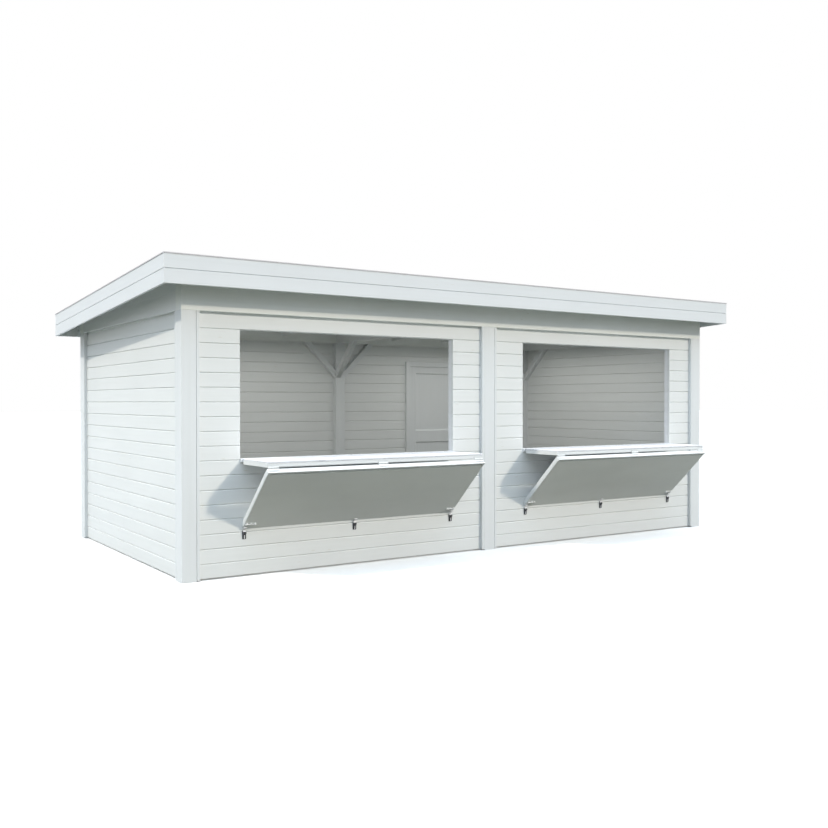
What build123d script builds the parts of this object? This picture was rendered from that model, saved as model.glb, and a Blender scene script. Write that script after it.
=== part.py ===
"""Wooden kiosk with two fold-down serving hatches, a door at the back and a lean-to roof.

X runs along the front, Y from the front to the back and Z up, in millimetres.
The origin is on the ground, under the middle of the whole, with the hatches open.
"""
from math import asin, atan, cos, degrees, hypot, radians, sin, tan

from build123d import *

import os

os.makedirs("parts", exist_ok=True)

# Frame
LENGTH = 6000  # over the corner posts
DEPTH = 3000  # over the corner posts
POST = 120  # square posts and beams
POST_EASE = 2  # chamfer on the posts' corners
UNDER_BEAM = 2103  # height of every post
BEAM_HEIGHT = 145
FRONT_BEAM_HEIGHT = 200
BRACE = 60
BRACE_RUN = 415  # how far a knee brace reaches along post and beam

# Boarded walls, set back behind the frame's faces
RECESS = 30
BOARD = 28
BOARD_PITCH = 115.5
WALL_FOOT = 9
TONGUE = 8  # thickness of the top board's tongue, which closes the gap under the beam
BATTEN = 28

# Roof, falling to the back
FALL = 0.0564  # drop for each unit of depth
OVERHANG = 200
FASCIA_HEIGHT = 222
FASCIA = 20
UPSTAND = 45  # of the fascia above the deck
DECK = 20
MEMBRANE = 3
TRIM_WIDTH = 30
TRIM_HEIGHT = 8
TRIM_OUT = 4  # beyond the fascia's face
RAFTER_WIDTH = 45
RAFTER_HEIGHT = 95
RAFTERS_A_SIDE = 3  # between a side beam and the cross beam
RISER = 45  # width of the timbers that lift the roof off the beams
SIDE_LOOKOUT_HEIGHT = 60
SIDE_LOOKOUTS = 5  # on each side

# Serving openings
OPENING_MARGIN = 360  # mean width of the wall between an opening and a post
OPENING_SHIFT = 13  # of both openings to the right of their bays' middles
OPENING_SILL = 942
OPENING_HEAD = 1973
LINING = 20
LINING_DEPTH = 44  # behind the boards
SILL = 28

# Folding hatches: a counter leaf and the prop leaf that carries it
HATCH_CLEARANCE = 15  # between a leaf's end and the side of its opening
LEAF = 45
COUNTER_REACH = 448  # from the post face to the counter's front edge
SILL_PIN_Y = 6  # behind the post face
PIN_GAP = 7  # from a pin to the leaf or sill edge beside it
EASE = 1.5  # chamfer on the leaves' long edges
PROP_LENGTH = 701  # of its face, from the fold pin to the wall
PROP_WALL_GAP = 5.6  # between the prop's end, which is cut upright, and the wall
KNUCKLE_RADIUS = 4.5
CLEAR = 0.5  # between one hinge half and the other
HINGE_PLATE = 2
HINGE_PLATE_HEIGHT = 26
HINGE_LENGTH = 90
HINGE_INSET = 52  # of the outer hinges' middles from the leaf's ends
LATCH_INSET = 17
LATCH_DROP = 8  # below the prop's end
LATCH_HEIGHT = 72
LATCH_WIDTH = 34
LATCH_PLATE = 2.5
LATCH_CORNER = 4
LATCH_LEVER = 18  # width of the lever between its cheeks
LATCH_CHEEK = 2
LATCH_CHEEK_OUT = 12  # from the plate
LATCH_PIN = 3  # radius
LATCH_PIN_DOWN = 22  # below the plate's top
LATCH_OUT = 20  # from the boards to the lever's crown
KEEP = 3
KEEP_WIDTH = 28
KEEP_LENGTH = 24
KEEP_LIP = 9  # height of the lip that a latch pulls on
KEEP_EDGE = 5  # from the leaf's end
BOLT_LENGTH = 95
BOLT_WIDTH = 28
BOLT_PLATE = 2
BOLT_RADIUS = 5.5
BOLT_SEAT = 1  # how deep the barrel sits in its plate
BOLT_INSET = 62  # from the prop's free end
BOLT_END = 6  # from the leaf's ends

# Door in the back wall
DOOR_FRAME_WIDTH = 1000
DOOR_FRAME = 45
DOOR_FRAME_TOP = 1905
DOOR_FRAME_DEPTH = 60
DOOR_LEAF = 40
DOOR_GAP = 5
DOOR_FOOT = 30
STILE = 100
MID_RAIL_LOW = 890
MID_RAIL_HIGH = 1030
PANEL = 14
PANEL_BEVEL = 16  # width of the sloping edge round a panel
TOP_RAIL = 90
BOTTOM_RAIL = 180
DOOR_STOP = 14
DOOR_PIN_OUT = 8  # of the hinge pins, outside the leaf's face
DOOR_KNUCKLE = 6
DOOR_HINGE_PLATE = 3
DOOR_HINGE_WEB = 2  # thickness between knuckle and plate, and lap on the plate
DOOR_HINGE_WIDTH = 38
DOOR_HINGE_LENGTH = 100
DOOR_HINGES = (220, 940, 1660)  # heights of their middles
HANDLE_HEIGHT = 985
HANDLE_INSET = 50
HANDLE_PLATE = (40, 200, 5)  # width, height and thickness
HANDLE_PLATE_CORNER = 6
HANDLE_NECK = 9
HANDLE_OUT = 50
LEVER = (12, 20, 120)  # thickness, height and length
LEVER_CORNER = 5

# Places worked out from the sizes above
SIDE = LENGTH / 2
PROP_REACH = COUNTER_REACH + RECESS - PROP_WALL_GAP  # from the fold pin to the end
PROP_LEAN = degrees(asin(PROP_REACH / hypot(PROP_LENGTH, LEAF)) + atan(LEAF / PROP_LENGTH))
PROP_CUT = LEAF / tan(radians(PROP_LEAN))  # how much shorter its back is than its face
PROP_CORNER = (  # the two ends of the ease on its upper front edge
    LEAF * cos(radians(PROP_LEAN)) - (PIN_GAP + EASE) * sin(radians(PROP_LEAN)),
    (LEAF - EASE) * cos(radians(PROP_LEAN)) - PIN_GAP * sin(radians(PROP_LEAN)),
)
PROP_EDGE = COUNTER_REACH + max(PROP_CORNER)
FRONT = (PROP_EDGE - DEPTH - OVERHANG - TRIM_OUT) / 2  # y of the front posts' face
BACK = FRONT + DEPTH
INNER_SIDE = SIDE - POST
HALF_POST = POST / 2
BOARD_ROWS = int((UNDER_BEAM - WALL_FOOT) / BOARD_PITCH)  # that fit under the beam
WALL_HEAD = WALL_FOOT + BOARD_ROWS * BOARD_PITCH
WALL_FRONT = FRONT + RECESS
WALL_BACK = BACK - RECESS
BAY_LENGTH = INNER_SIDE - HALF_POST
BAY = (INNER_SIDE + HALF_POST) / 2  # x of a bay's middle
OPENING_WIDTH = BAY_LENGTH - 2 * OPENING_MARGIN
HATCH_WIDTH = OPENING_WIDTH - 2 * HATCH_CLEARANCE
OPENINGS = {"left": OPENING_SHIFT - BAY, "right": OPENING_SHIFT + BAY}  # x of middles
BEAM_TOP = UNDER_BEAM + BEAM_HEIGHT
FRONT_BEAM_TOP = UNDER_BEAM + FRONT_BEAM_HEIGHT
EAVES_FRONT = FRONT - OVERHANG
EAVES_BACK = BACK + OVERHANG
EAVES_SIDE = SIDE + OVERHANG
DECK_UNDER = BEAM_TOP + FALL * (DEPTH + OVERHANG)  # at the front edge
FASCIA_TOP = DECK_UNDER + DECK + UPSTAND
LEAF_TOP = OPENING_SILL
SILL_PIN = (FRONT + SILL_PIN_Y, LEAF_TOP)
FOLD_PIN = (FRONT - COUNTER_REACH, LEAF_TOP - LEAF)
PROP_DOWN = (sin(radians(PROP_LEAN)), -cos(radians(PROP_LEAN)))
PROP_FACE = (-cos(radians(PROP_LEAN)), -sin(radians(PROP_LEAN)))
DOOR_LEFT = BAY - DOOR_FRAME_WIDTH / 2 + DOOR_FRAME + DOOR_GAP
DOOR_RIGHT = BAY + DOOR_FRAME_WIDTH / 2 - DOOR_FRAME - DOOR_GAP
DOOR_TOP = DOOR_FRAME_TOP - DOOR_FRAME - DOOR_GAP
DOOR_FACE = WALL_BACK  # outside face of leaf and frame
DOOR_PIN = (DOOR_LEFT - DOOR_GAP / 2, DOOR_FACE + DOOR_PIN_OUT)


def slope(y, height=DECK_UNDER):
    """Height at depth y of a roof line that is at this height over the front edge."""
    return height - FALL * (y - EAVES_FRONT)


def sloping(y_front, y_back, low, high):
    """Corners of a side view between two roof lines."""
    return [
        (y_front, slope(y_front, low)),
        (y_back, slope(y_back, low)),
        (y_back, slope(y_back, high)),
        (y_front, slope(y_front, high)),
    ]


def on_prop(along, out):
    """Side-view point on the prop leaf, along it from the fold pin and out towards its face."""
    return (
        FOLD_PIN[0] + along * PROP_DOWN[0] + out * PROP_FACE[0],
        FOLD_PIN[1] + along * PROP_DOWN[1] + out * PROP_FACE[1],
    )


def save(part, name):
    """Names a part and writes its file."""
    part.label = name
    export_step(part, f"parts/{name}.step")


# Posts
def make_posts(name, corners):
    """Square posts on the ground, each from its lowest x and y."""
    with BuildPart() as posts:
        with BuildSketch():
            for x, y in corners:
                with Locations((x + HALF_POST, y + HALF_POST)):
                    Rectangle(POST, POST)
        extrude(amount=UNDER_BEAM)
        chamfer(posts.edges().filter_by(Axis.Z), POST_EASE)
    save(posts.part, name)


make_posts(
    "corner_posts",
    [
        (-SIDE, FRONT),
        (INNER_SIDE, FRONT),
        (-SIDE, BACK - POST),
        (INNER_SIDE, BACK - POST),
    ],
)
make_posts("middle_posts", [(-HALF_POST, FRONT), (-HALF_POST, BACK - POST)])


# Head beams, the back one planed to the roof's fall
with BuildPart() as beam_front:
    with BuildSketch(Plane.XY.offset(UNDER_BEAM)):
        with Locations((0, FRONT + HALF_POST)):
            Rectangle(LENGTH, POST)
    extrude(amount=FRONT_BEAM_HEIGHT)
save(beam_front.part, "beam_front")

ACROSS_LENGTH = DEPTH - 2 * POST
MIDDLE_Y = (FRONT + BACK) / 2
with BuildPart() as beams_across:
    with BuildSketch(Plane.XY.offset(UNDER_BEAM)):
        with Locations(
            (-SIDE + HALF_POST, MIDDLE_Y), (0, MIDDLE_Y), (SIDE - HALF_POST, MIDDLE_Y)
        ):
            Rectangle(POST, ACROSS_LENGTH)
    extrude(amount=BEAM_HEIGHT)
save(beams_across.part, "beams_across")

with BuildPart() as beam_back:
    with BuildSketch(Plane.YZ.offset(-SIDE)):
        with BuildLine():
            Polyline(
                (BACK - POST, UNDER_BEAM),
                (BACK, UNDER_BEAM),
                (BACK, slope(BACK)),
                (BACK - POST, slope(BACK - POST)),
                close=True,
            )
        make_face()
    extrude(amount=LENGTH)
save(beam_back.part, "beam_back")


# Risers that carry the roof's fall on the level beams
def riser_outline(y_low, y_high, foot):
    """Side view of a timber on a beam with its top cut to the roof's fall."""
    return [
        (y_low, foot),
        (y_high, foot),
        (y_high, slope(y_high)),
        (y_low, slope(y_low)),
    ]


with BuildPart() as riser_front:
    with BuildSketch(Plane.YZ.offset(-SIDE)):
        with BuildLine():
            Polyline(*riser_outline(FRONT, FRONT + RISER, FRONT_BEAM_TOP), close=True)
        make_face()
    extrude(amount=LENGTH)
save(riser_front.part, "riser_front")

with BuildPart() as risers_across:
    for x in (-SIDE, -RISER / 2, SIDE - RISER):
        with BuildSketch(Plane.YZ.offset(x)):
            with BuildLine():
                Polyline(*riser_outline(FRONT + POST, BACK - POST, BEAM_TOP), close=True)
            make_face()
        extrude(amount=RISER)
save(risers_across.part, "risers_across")


# Knee braces between posts and beams, behind the boards
def brace_outline(start, way):
    """Corners of a brace from a post face at this place, leaning this way along the beam."""
    low = UNDER_BEAM - BRACE_RUN
    cut = BRACE * 2**0.5
    return [
        (start, low),
        (start, low + cut),
        (start + way * (BRACE_RUN - cut), UNDER_BEAM),
        (start + way * BRACE_RUN, UNDER_BEAM),
    ]


with BuildPart() as braces_along:
    for y_low in (FRONT + POST - BRACE, BACK - POST):
        with BuildSketch(Plane.XZ.offset(-y_low)):
            for start, way in (
                (-INNER_SIDE, 1),
                (-HALF_POST, -1),
                (HALF_POST, 1),
                (INNER_SIDE, -1),
            ):
                with BuildLine():
                    Polyline(*brace_outline(start, way), close=True)
                make_face()
        extrude(amount=-BRACE)
save(braces_along.part, "braces_along")

with BuildPart() as braces_across:
    for x_low in (-INNER_SIDE - BRACE, -HALF_POST, INNER_SIDE):
        with BuildSketch(Plane.YZ.offset(x_low)):
            for start, way in ((FRONT + POST, 1), (BACK - POST, -1)):
                with BuildLine():
                    Polyline(*brace_outline(start, way), close=True)
                make_face()
        extrude(amount=BRACE)
save(braces_across.part, "braces_across")


# Boarded walls, each with the top board's tongue up to the beam
TONGUE_IN = (BOARD - TONGUE) / 2  # behind the board's face


def make_front_wall(name, bay, opening):
    """Wall of one front bay, from the bay's and the opening's middles."""
    with BuildPart() as wall:
        with BuildSketch(Plane.XZ.offset(-WALL_FRONT)):
            with Locations((bay, (WALL_FOOT + WALL_HEAD) / 2)):
                Rectangle(BAY_LENGTH, WALL_HEAD - WALL_FOOT)
            with Locations((opening, (OPENING_SILL - SILL + OPENING_HEAD) / 2)):
                Rectangle(
                    OPENING_WIDTH,
                    OPENING_HEAD - OPENING_SILL + SILL,
                    mode=Mode.SUBTRACT,
                )
        extrude(amount=-BOARD)
        with BuildSketch(Plane.XZ.offset(-WALL_FRONT - TONGUE_IN)):
            with Locations((bay, (WALL_HEAD + UNDER_BEAM) / 2)):
                Rectangle(BAY_LENGTH, UNDER_BEAM - WALL_HEAD)
        extrude(amount=-TONGUE)
    save(wall.part, name)


def make_plain_wall(name, x_low, x_high, y_low, y_high, foot=WALL_FOOT):
    """A plain stretch of boarded wall."""
    middle = ((x_low + x_high) / 2, (y_low + y_high) / 2)
    length, width = x_high - x_low, y_high - y_low
    along_x = length > width
    with BuildPart() as wall:
        with BuildSketch(Plane.XY.offset(foot)):
            with Locations(middle):
                Rectangle(length, width)
        extrude(amount=WALL_HEAD - foot)
        with BuildSketch(Plane.XY.offset(WALL_HEAD)):
            with Locations(middle):
                Rectangle(length if along_x else TONGUE, TONGUE if along_x else width)
        extrude(amount=UNDER_BEAM - WALL_HEAD)
    save(wall.part, name)


make_front_wall("front_wall_left", -BAY, OPENINGS["left"])
make_front_wall("front_wall_right", BAY, OPENINGS["right"])
make_plain_wall(
    "side_wall_left",
    -SIDE + RECESS,
    -SIDE + RECESS + BOARD,
    FRONT + POST,
    BACK - POST,
)
make_plain_wall(
    "side_wall_right",
    SIDE - RECESS - BOARD,
    SIDE - RECESS,
    FRONT + POST,
    BACK - POST,
)
WALL_BACK_IN = WALL_BACK - BOARD
DOORWAY_LEFT = BAY - DOOR_FRAME_WIDTH / 2
DOORWAY_RIGHT = BAY + DOOR_FRAME_WIDTH / 2
make_plain_wall("back_wall_left", -INNER_SIDE, -HALF_POST, WALL_BACK_IN, WALL_BACK)
make_plain_wall("back_wall_hinge_side", HALF_POST, DOORWAY_LEFT, WALL_BACK_IN, WALL_BACK)
make_plain_wall(
    "back_wall_handle_side", DOORWAY_RIGHT, INNER_SIDE, WALL_BACK_IN, WALL_BACK
)
make_plain_wall(
    "back_wall_over_door",
    DOORWAY_LEFT,
    DOORWAY_RIGHT,
    WALL_BACK_IN,
    WALL_BACK,
    DOOR_FRAME_TOP,
)


# Battens that hold the boards against the posts
ALONG = (-INNER_SIDE, -HALF_POST - BATTEN, HALF_POST, INNER_SIDE - BATTEN)
ACROSS = (FRONT + POST, BACK - POST - BATTEN)
with BuildPart() as battens:
    with BuildSketch(Plane.XY.offset(WALL_FOOT)):
        for x in ALONG:
            with Locations(
                (x + BATTEN / 2, FRONT + RECESS / 2), (x + BATTEN / 2, BACK - RECESS / 2)
            ):
                Rectangle(BATTEN, RECESS)
        for y in ACROSS:
            with Locations(
                (-SIDE + RECESS / 2, y + BATTEN / 2), (SIDE - RECESS / 2, y + BATTEN / 2)
            ):
                Rectangle(RECESS, BATTEN)
    extrude(amount=UNDER_BEAM - WALL_FOOT)
save(battens.part, "battens")


# Linings of the serving openings, with a sill that stands out to the hatch
def make_lining(name, middle):
    """A four-sided lining behind the boards and the sill through the opening."""
    behind = WALL_FRONT + BOARD
    nose = SILL_PIN[0] + PIN_GAP
    with BuildPart() as lining:
        with BuildSketch(Plane.XZ.offset(-behind)):
            with Locations((middle, (OPENING_SILL - SILL + OPENING_HEAD) / 2)):
                Rectangle(
                    OPENING_WIDTH + 2 * LINING,
                    OPENING_HEAD - OPENING_SILL + SILL + 2 * LINING,
                )
            with Locations((middle, (OPENING_SILL + OPENING_HEAD) / 2)):
                Rectangle(
                    OPENING_WIDTH, OPENING_HEAD - OPENING_SILL, mode=Mode.SUBTRACT
                )
        extrude(amount=-LINING_DEPTH)
        with BuildSketch(Plane.XZ.offset(-behind)):
            with Locations((middle, OPENING_SILL - SILL / 2)):
                Rectangle(OPENING_WIDTH, SILL)
        extrude(amount=behind - nose)
    save(lining.part, name)


for side, middle in OPENINGS.items():
    make_lining(f"serving_lining_{side}", middle)

HINGE_PLACES = (-HATCH_WIDTH / 2 + HINGE_INSET, 0, HATCH_WIDTH / 2 - HINGE_INSET)


# Counter leaves
def make_counter(name, middle):
    """The leaf that folds down to a counter, its edges eased."""
    with BuildPart() as counter:
        with BuildSketch(Plane.YZ.offset(middle - HATCH_WIDTH / 2)):
            with BuildLine():
                Polyline(
                    (SILL_PIN[0] - PIN_GAP, LEAF_TOP),
                    (FOLD_PIN[0] + PIN_GAP, LEAF_TOP),
                    (FOLD_PIN[0] + PIN_GAP, LEAF_TOP - LEAF),
                    (SILL_PIN[0] - PIN_GAP, LEAF_TOP - LEAF),
                    close=True,
                )
            make_face()
        extrude(amount=HATCH_WIDTH)
        chamfer(counter.edges().filter_by(Axis.X), EASE)
    save(counter.part, name)


for side, middle in OPENINGS.items():
    make_counter(f"counter_{side}", middle)


# Prop leaves
def make_prop(name, middle):
    """The leaf that folds back under the counter to the wall, its end cut upright."""
    with BuildPart() as prop:
        with BuildSketch(Plane.YZ.offset(middle - HATCH_WIDTH / 2)):
            with BuildLine():
                Polyline(
                    on_prop(PIN_GAP, 0),
                    on_prop(PROP_LENGTH - PROP_CUT, 0),
                    on_prop(PROP_LENGTH, LEAF),
                    on_prop(PIN_GAP, LEAF),
                    close=True,
                )
            make_face()
        extrude(amount=HATCH_WIDTH)
        chamfer(prop.edges().filter_by(Axis.X), EASE)
    save(prop.part, name)


for side, middle in OPENINGS.items():
    make_prop(f"prop_{side}", middle)


# Hinges of the hatches, each half a plate on an edge and its share of the knuckles
def make_hinges(name, middles, pin, plate, web, share):
    """Three hinge halves a hatch; share lists the fifths that this half's knuckles take."""
    fifth = HINGE_LENGTH / 5
    with BuildPart() as hinges:
        for place in [middle + inset for middle in middles for inset in HINGE_PLACES]:
            start = place - HINGE_LENGTH / 2
            with BuildSketch(Plane.YZ.offset(start)):
                with BuildLine():
                    Polyline(*plate, close=True)
                make_face()
            extrude(amount=HINGE_LENGTH)
            for n in share:
                with BuildSketch(Plane.YZ.offset(start + n * fifth + CLEAR / 2)):
                    with BuildLine():
                        Polyline(*web, close=True)
                    make_face()
                    with Locations(pin):
                        Circle(KNUCKLE_RADIUS)
                extrude(amount=fifth - CLEAR)
    save(hinges.part, name)


def beside(pin, way, high):
    """Plate on an upright edge and the web from its knuckles, on one side of a pin."""
    y, z = pin
    near = y + way * (PIN_GAP - HINGE_PLATE)
    far = y + way * PIN_GAP
    low = z if high > 0 else z + high
    top = z + high if high > 0 else z
    web = KNUCKLE_RADIUS if high > 0 else -KNUCKLE_RADIUS
    return (
        [(near, low), (far, low), (far, top), (near, top)],
        [(y, z), (far, z), (far, z + web), (y, z + web)],
    )


ODD, EVEN = (0, 2, 4), (1, 3)
SILL_SIDE = beside(SILL_PIN, 1, -HINGE_PLATE_HEIGHT)
COUNTER_AT_SILL = beside(SILL_PIN, -1, -HINGE_PLATE_HEIGHT)
COUNTER_AT_FOLD = beside(FOLD_PIN, 1, HINGE_PLATE_HEIGHT)
PROP_SIDE = (
    [
        on_prop(PIN_GAP - HINGE_PLATE, 0),
        on_prop(PIN_GAP, 0),
        on_prop(PIN_GAP, HINGE_PLATE_HEIGHT),
        on_prop(PIN_GAP - HINGE_PLATE, HINGE_PLATE_HEIGHT),
    ],
    [
        on_prop(0, 0),
        on_prop(PIN_GAP, 0),
        on_prop(PIN_GAP, KNUCKLE_RADIUS),
        on_prop(0, KNUCKLE_RADIUS),
    ],
)
for side, middle in OPENINGS.items():
    make_hinges(f"counter_hinges_{side}", [middle], SILL_PIN, *COUNTER_AT_SILL, EVEN)
    make_hinges(f"fold_hinges_{side}", [middle], FOLD_PIN, *COUNTER_AT_FOLD, ODD)
    make_hinges(f"prop_hinges_{side}", [middle], FOLD_PIN, *PROP_SIDE, EVEN)
make_hinges("sill_hinges", OPENINGS.values(), SILL_PIN, *SILL_SIDE, ODD)

LATCH_PLACES = (-HATCH_WIDTH / 2 + LATCH_INSET, 0, HATCH_WIDTH / 2 - LATCH_INSET)
LATCH_TOP = on_prop(PROP_LENGTH, LEAF)[1] - LATCH_DROP


# Toggle latches on the wall under the prop's free end: a plate, two cheeks with a pin,
# and a lever that lies between the cheeks with its free end down
LATCH_FACE = WALL_FRONT - LATCH_PLATE
LATCH_FOOT = LATCH_TOP - LATCH_HEIGHT + LATCH_CORNER
LATCH_PIN_PLACE = (LATCH_FACE - LATCH_CHEEK_OUT + LATCH_PIN, LATCH_TOP - LATCH_PIN_DOWN)
with BuildPart() as latches:
    for place in [x + inset for x in OPENINGS.values() for inset in LATCH_PLACES]:
        with BuildSketch(Plane.XZ.offset(-WALL_FRONT)):
            with Locations((place, LATCH_TOP - LATCH_HEIGHT / 2)):
                RectangleRounded(LATCH_WIDTH, LATCH_HEIGHT, LATCH_CORNER)
        extrude(amount=LATCH_PLATE)
        for cheek in (-LATCH_LEVER / 2 - LATCH_CHEEK, LATCH_LEVER / 2):
            with BuildSketch(Plane.YZ.offset(place + cheek)):
                with BuildLine():
                    Polyline(
                        (LATCH_FACE, LATCH_TOP - LATCH_CORNER),
                        (LATCH_FACE - LATCH_CHEEK_OUT, LATCH_PIN_PLACE[1] + LATCH_PIN),
                        (LATCH_FACE - LATCH_CHEEK_OUT, LATCH_PIN_PLACE[1] - LATCH_PIN),
                        (LATCH_FACE, LATCH_TOP - LATCH_HEIGHT / 2),
                        close=True,
                    )
                make_face()
            extrude(amount=LATCH_CHEEK)
        with BuildSketch(Plane.YZ.offset(place - LATCH_LEVER / 2)):
            with BuildLine():
                Polyline(
                    (LATCH_FACE - LATCH_PLATE, LATCH_FOOT),
                    (LATCH_FACE, LATCH_FOOT),
                    (LATCH_FACE, LATCH_PIN_PLACE[1]),
                    LATCH_PIN_PLACE,
                )
                ThreePointArc(
                    LATCH_PIN_PLACE,
                    (WALL_FRONT - LATCH_OUT, (LATCH_PIN_PLACE[1] + LATCH_FOOT) / 2),
                    (LATCH_FACE - LATCH_PLATE, LATCH_FOOT),
                )
            make_face()
        extrude(amount=LATCH_LEVER)
        with BuildSketch(Plane.YZ.offset(place - LATCH_LEVER / 2 - LATCH_CHEEK)):
            with Locations(LATCH_PIN_PLACE):
                Circle(LATCH_PIN)
        extrude(amount=LATCH_LEVER + 2 * LATCH_CHEEK)
save(latches.part, "latches")


# Keeps on the prop's face, over the latches
def make_keeps(name, middle):
    """Three plates, each with a lip that its latch holds."""
    low = PROP_LENGTH - KEEP_EDGE
    high = low - KEEP_LENGTH
    with BuildPart() as keeps:
        for place in LATCH_PLACES:
            with BuildSketch(Plane.YZ.offset(middle + place - KEEP_WIDTH / 2)):
                with BuildLine():
                    Polyline(
                        on_prop(low, LEAF),
                        on_prop(low, LEAF + KEEP),
                        on_prop(high + KEEP, LEAF + KEEP),
                        on_prop(high + KEEP, LEAF + KEEP_LIP),
                        on_prop(high, LEAF + KEEP_LIP),
                        on_prop(high, LEAF),
                        close=True,
                    )
                make_face()
            extrude(amount=KEEP_WIDTH)
    save(keeps.part, name)


# Barrel bolts on the prop's face, at both ends
def make_bolts(name, middle):
    """Two bolts, each a plate with a half-round barrel."""
    along = PROP_LENGTH - BOLT_INSET
    with BuildPart() as bolts:
        for start in (
            middle - HATCH_WIDTH / 2 + BOLT_END,
            middle + HATCH_WIDTH / 2 - BOLT_END - BOLT_LENGTH,
        ):
            with BuildSketch(Plane.YZ.offset(start)):
                with BuildLine():
                    Polyline(
                        on_prop(along - BOLT_WIDTH / 2, LEAF),
                        on_prop(along + BOLT_WIDTH / 2, LEAF),
                        on_prop(along + BOLT_WIDTH / 2, LEAF + BOLT_PLATE),
                        on_prop(along - BOLT_WIDTH / 2, LEAF + BOLT_PLATE),
                        close=True,
                    )
                make_face()
                with Locations(
                    on_prop(along, LEAF + BOLT_PLATE + BOLT_RADIUS - BOLT_SEAT)
                ):
                    Circle(BOLT_RADIUS)
            extrude(amount=BOLT_LENGTH)
    save(bolts.part, name)


for side, middle in OPENINGS.items():
    make_keeps(f"keeps_{side}", middle)
    make_bolts(f"bolts_{side}", middle)

# Door frame, with the strip that the leaf shuts towards
with BuildPart() as door_frame:
    with BuildSketch(Plane.XZ.offset(-DOOR_FACE)):
        with Locations((BAY, DOOR_FRAME_TOP / 2)):
            Rectangle(DOOR_FRAME_WIDTH, DOOR_FRAME_TOP)
        with Locations((BAY, (DOOR_FRAME_TOP - DOOR_FRAME) / 2)):
            Rectangle(
                DOOR_FRAME_WIDTH - 2 * DOOR_FRAME,
                DOOR_FRAME_TOP - DOOR_FRAME,
                mode=Mode.SUBTRACT,
            )
    extrude(amount=DOOR_FRAME_DEPTH)
    with BuildSketch(Plane.XZ.offset(-DOOR_FACE + DOOR_LEAF + DOOR_GAP)):
        with Locations((BAY, (DOOR_FRAME_TOP - DOOR_FRAME) / 2)):
            Rectangle(DOOR_FRAME_WIDTH - 2 * DOOR_FRAME, DOOR_FRAME_TOP - DOOR_FRAME)
        with Locations((BAY, (DOOR_FRAME_TOP - DOOR_FRAME - DOOR_STOP) / 2)):
            Rectangle(
                DOOR_FRAME_WIDTH - 2 * DOOR_FRAME - 2 * DOOR_STOP,
                DOOR_FRAME_TOP - DOOR_FRAME - DOOR_STOP,
                mode=Mode.SUBTRACT,
            )
    extrude(amount=DOOR_FRAME_DEPTH - DOOR_LEAF - DOOR_GAP)
save(door_frame.part, "door_frame")

# Door leaf: stiles and rails with two thinner panels, bevelled round each on both faces
PANEL_DEPTH = (DOOR_LEAF - PANEL) / 2
PANEL_SLOPE = degrees(atan(PANEL_BEVEL / PANEL_DEPTH))
with BuildPart() as door_leaf:
    with BuildSketch(Plane.XZ.offset(-DOOR_FACE)):
        with Locations((BAY, (DOOR_FOOT + DOOR_TOP) / 2)):
            Rectangle(DOOR_RIGHT - DOOR_LEFT, DOOR_TOP - DOOR_FOOT)
    extrude(amount=DOOR_LEAF)
    for face, way in ((DOOR_FACE, 1), (DOOR_FACE - DOOR_LEAF, -1)):
        with BuildSketch(Plane.XZ.offset(-face)):
            for low, high in (
                (DOOR_FOOT + BOTTOM_RAIL, MID_RAIL_LOW),
                (MID_RAIL_HIGH, DOOR_TOP - TOP_RAIL),
            ):
                with Locations((BAY, (low + high) / 2)):
                    Rectangle(DOOR_RIGHT - DOOR_LEFT - 2 * STILE, high - low)
        extrude(amount=PANEL_DEPTH * way, taper=PANEL_SLOPE, mode=Mode.SUBTRACT)
save(door_leaf.part, "door_leaf")


# Door hinges
def make_door_hinges(name, way, share):
    """Three hinge halves on the faces of the frame (way -1) or of the leaf (way 1)."""
    x, y = DOOR_PIN
    fifth = DOOR_HINGE_LENGTH / 5
    gap = DOOR_KNUCKLE + CLEAR
    web = gap + DOOR_HINGE_WEB
    with BuildPart() as hinges:
        for height in DOOR_HINGES:
            start = height - DOOR_HINGE_LENGTH / 2
            with BuildSketch(Plane.XY.offset(start)):
                with Locations(
                    (
                        x + way * (gap + DOOR_HINGE_WIDTH) / 2,
                        DOOR_FACE + DOOR_HINGE_PLATE / 2,
                    )
                ):
                    Rectangle(DOOR_HINGE_WIDTH - gap, DOOR_HINGE_PLATE)
            extrude(amount=DOOR_HINGE_LENGTH)
            for n in share:
                with BuildSketch(Plane.XY.offset(start + n * fifth + CLEAR / 2)):
                    with Locations((x, y)):
                        Circle(DOOR_KNUCKLE)
                    with Locations((x + way * web / 2, DOOR_FACE + DOOR_HINGE_PLATE)):
                        Rectangle(web, DOOR_HINGE_WEB)
                extrude(amount=fifth - CLEAR)
    save(hinges.part, name)


make_door_hinges("door_hinges_frame", -1, ODD)
make_door_hinges("door_hinges_leaf", 1, EVEN)

# Door handles: a plate and a lever on each face
HANDLE_X = DOOR_RIGHT - HANDLE_INSET
with BuildPart() as door_handles:
    for face, way in ((DOOR_FACE, 1), (DOOR_FACE - DOOR_LEAF, -1)):
        with BuildSketch(Plane.XZ.offset(-face)):
            with Locations((HANDLE_X, HANDLE_HEIGHT - HANDLE_PLATE[1] / 5)):
                RectangleRounded(HANDLE_PLATE[0], HANDLE_PLATE[1], HANDLE_PLATE_CORNER)
        extrude(amount=-HANDLE_PLATE[2] * way)
        with BuildSketch(Plane.XZ.offset(-face)):
            with Locations((HANDLE_X, HANDLE_HEIGHT)):
                Circle(HANDLE_NECK)
        extrude(amount=-HANDLE_OUT * way)
        with BuildSketch(Plane.YZ.offset(HANDLE_X + HANDLE_NECK)):
            with Locations((face + (HANDLE_OUT - LEVER[0] / 2) * way, HANDLE_HEIGHT)):
                RectangleRounded(LEVER[0], LEVER[1], LEVER_CORNER)
        extrude(amount=-LEVER[2])
save(door_handles.part, "door_handles")

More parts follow.
